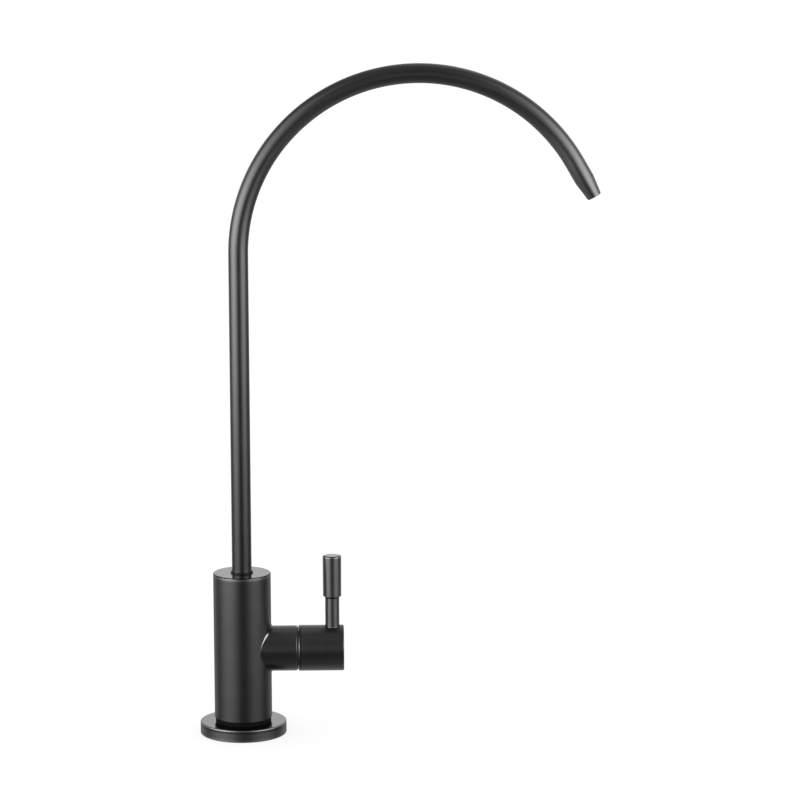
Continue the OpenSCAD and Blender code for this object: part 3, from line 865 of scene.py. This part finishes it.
def grip_outline():
    """The sleeve's outside, from the top's middle to the foot, and its bore, in millimetres."""
    foot, top, top_r = grip_low.z, grip_high.z, grip_high.y
    top_middle = Vector((0, top))
    crown = Vector((top_r - grip_bevel_w, top))
    shoulder = Vector((top_r, top - grip_bevel_h))
    heel = Vector((grip_foot_r, foot))
    points = [top_middle]
    points += eased(top_middle, crown, shoulder, grip_crown_ease)
    points += eased(crown, shoulder, heel, grip_shoulder_ease)
    points += eased(shoulder, heel, Vector((0, foot)), grip_foot_ease)
    bore_end = foot + grip_bore_l
    points += [(grip_bore_r, foot), (grip_bore_r, bore_end), (0, bore_end)]
    return [(r * MM, 0, length * MM) for r, length in points]


sleeve = grip_outline()
grip = grow("grip_sleeve", turning_tree, {
    "Sides": 96, "Points": len(sleeve), "Side": stem_axis[0] * MM, **not_bent, **not_threaded,
    "Material": graphite["lever_grip"],
}, sleeve, "lever", sharp=30)
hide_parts("lever_grip")

# %% [markdown]
# ## Crease between body and boss
#
# The body is forged, so where boss and body meet there is a small rounding, which catches a bright
# line of light. It is the path of a ball that rolls in the crease. For each direction round the
# boss, the ball's middle is a ball's radius off both surfaces, and the rounding is the ball's side
# between the two points that it touches. The strip's back lies inside the metal. Its film carries a
# painted highlight halfway up the boss and painted shade above and below.


# %% A tree for a ball that rolls
def make_crease_tree():
    graph, size = new_tree("rolling_ball", ["Around", "Across"], [
        "Body Radius", "Boss Radius", "Ball", "Height", "Depth",
    ])
    body, boss, ball_r = size["Body Radius"], size["Boss Radius"], size["Ball"]
    grid, row, column = grid_cells(graph, size["Around"] + 1, size["Across"] + 3)
    angle = row / size["Around"] * math.tau
    side = (boss + ball_r) * angle.cos()
    rise = (boss + ball_r) * angle.sin()
    reach = body + ball_r
    out = (reach * reach - side * side) ** 0.5
    ball = graph.join(out, side, rise)
    shrink = body / reach
    on_body = graph.join(out * shrink, side * shrink, rise)
    boss_side = boss * angle.cos()
    boss_rise = boss * angle.sin()
    on_boss = graph.join(out, boss_side, boss_rise)
    body_out = (body ** 2 - boss_side * boss_side) ** 0.5
    corner = graph.join(body_out, boss_side, boss_rise)

    step = graph.math("MODULO", column, size["Across"] + 2)
    chord = graph.mix("VECTOR", step / size["Across"], on_body, on_boss)
    ray = graph.vector("NORMALIZE", graph.vector("SUBTRACT", chord, ball))
    rounding = graph.vector("ADD", ball, graph.vector("SCALE", ray, Scale=ball_r))
    inward = graph.vector("NORMALIZE", graph.vector("SUBTRACT", corner, ball))
    hidden = graph.vector("ADD", corner, graph.vector("SCALE", inward, Scale=size["Depth"]))
    at_back = graph.math("GREATER_THAN", step, size["Across"] + 0.5)
    place = graph.mix("VECTOR", at_back, rounding, hidden)
    place = graph.vector("ADD", place, graph.join(0, 0, size["Height"]))
    end_tree(graph, grid, place, size["Material"])
    return graph.tree


crease_tree = make_crease_tree()
print(f"crease tree of {len(crease_tree.nodes)} nodes")

# %% The crease
crease_ball = 1.3
crease_depth = 0.4
crease_highlight = (0.185, 0.185, 0.188)
crease_shade = (0.015, 0.015, 0.016)
crease_satin = 0.22
# Painted highlight on a lighter film halfway up the crease, and painted shade above and below it.
crease_finish = turned("graphite_crease", "z", *base_film, crease_satin, bands=[
    band(pivot.z, -21, -20, -8, -5, crease_shade),
    band(pivot.z, 3, 9, 9.1, 9.7, crease_highlight),
    band(pivot.z, 9.2, 10, 20, 21, crease_shade),
])
grow("boss_crease", crease_tree, {
    "Around": 160, "Across": 8, "Body Radius": body_r * MM, "Boss Radius": boss_r * MM,
    "Ball": crease_ball * MM, "Height": pivot.z * MM, "Depth": crease_depth * MM,
    "Material": crease_finish,
}, [(0, 0, 0)], "tap_body")

# %% [markdown]
# ## Other finishes
#
# Seals, washers and the bush are moulded, so they have an even fine mottle. The ceramic discs are
# lapped and nearly smooth. The cartridge's flange shows in the groove and is blackened. Its dull
# near-black is also painted shade, which keeps the groove dark.

# %% A moulded finish
speck_finer = 6
mottle_tint = 0.7
speck_tint = 0.3
mottle_rough = 0.15
speck_rough = 0.1
speck_height = 0.5
moulded_lift = 0.3


def moulded(name, dark, light, rough, size=0.8, depth_mm=0.02, shine=0.3):
    material, graph, shader = new_finish(name)
    place = place_mm(graph)
    mottle = noise(graph, *(part * size for part in place), fine_detail)
    speck = noise(graph, *(part * size * speck_finer for part in place), soft_detail)
    colour = mix_colour(graph, mottle * mottle_tint + speck * speck_tint, dark, light)
    roughness = rough + swing(mottle, mottle_rough) + swing(speck, speck_rough)
    height = mottle + speck * speck_height
    dress(graph, shader, Base_Color=colour, Roughness=roughness,
          Normal=bump(graph, height, depth_mm, moulded_lift), Specular_IOR_Level=shine)
    return material


print("moulded finish ready")

# %% Every node gets its finish
steel_tints = ((0.46, 0.46, 0.47), (0.58, 0.58, 0.58))
steel_rough = 0.28
oxide_tints = ((0.05, 0.05, 0.052), (0.08, 0.08, 0.082))
black_tints = ((0.002, 0.002, 0.002), (0.006, 0.006, 0.006))
blackened_shade_tints = ((0.018, 0.018, 0.018), (0.028, 0.028, 0.028))
ceramic_tints = ((0.80, 0.79, 0.75), (0.86, 0.85, 0.81))
plastic_tints = ((0.74, 0.72, 0.62), (0.80, 0.78, 0.70))
by_slot = {
    "black_rubber": moulded("moulded_rubber", *black_tints, rough=0.75, shine=0.05),
    "black_nylon": moulded("black_nylon", *black_tints, rough=0.42, shine=0.15),
    "white_ceramic": moulded(
        "white_ceramic", *ceramic_tints, rough=0.22, size=0.3, depth_mm=0.004),
    "slip_plastic": moulded("slip_plastic", *plastic_tints, rough=0.4, size=0.6, depth_mm=0.01),
    "dark_steel": turned("dark_steel", "z", *oxide_tints, rough=0.36),
    "turned_brass": brass_upright,
    "stainless_steel": turned("steel_upright", "z", *steel_tints, steel_rough),
}
by_node = {
    **graphite,
    "spindle": turned("brass_across", "x", *brass_tints, brass_rough, boss_axis),
    "spindle_clip": turned("steel_across", "x", *steel_tints, steel_rough, boss_axis),
    # Blackened flange in dull near-black: its own finish, and also painted shade in the groove.
    "cartridge_housing": moulded("black_brass", *blackened_shade_tints, rough=0.5, shine=0.2),
    "spout_tube": graphite_spout,
}
for name, node in nodes.items():
    slot = node.data.materials[0].name
    node.data.materials[0] = by_node[name] if name in by_node else by_slot[slot]
print(f"{len(nodes)} nodes dressed")
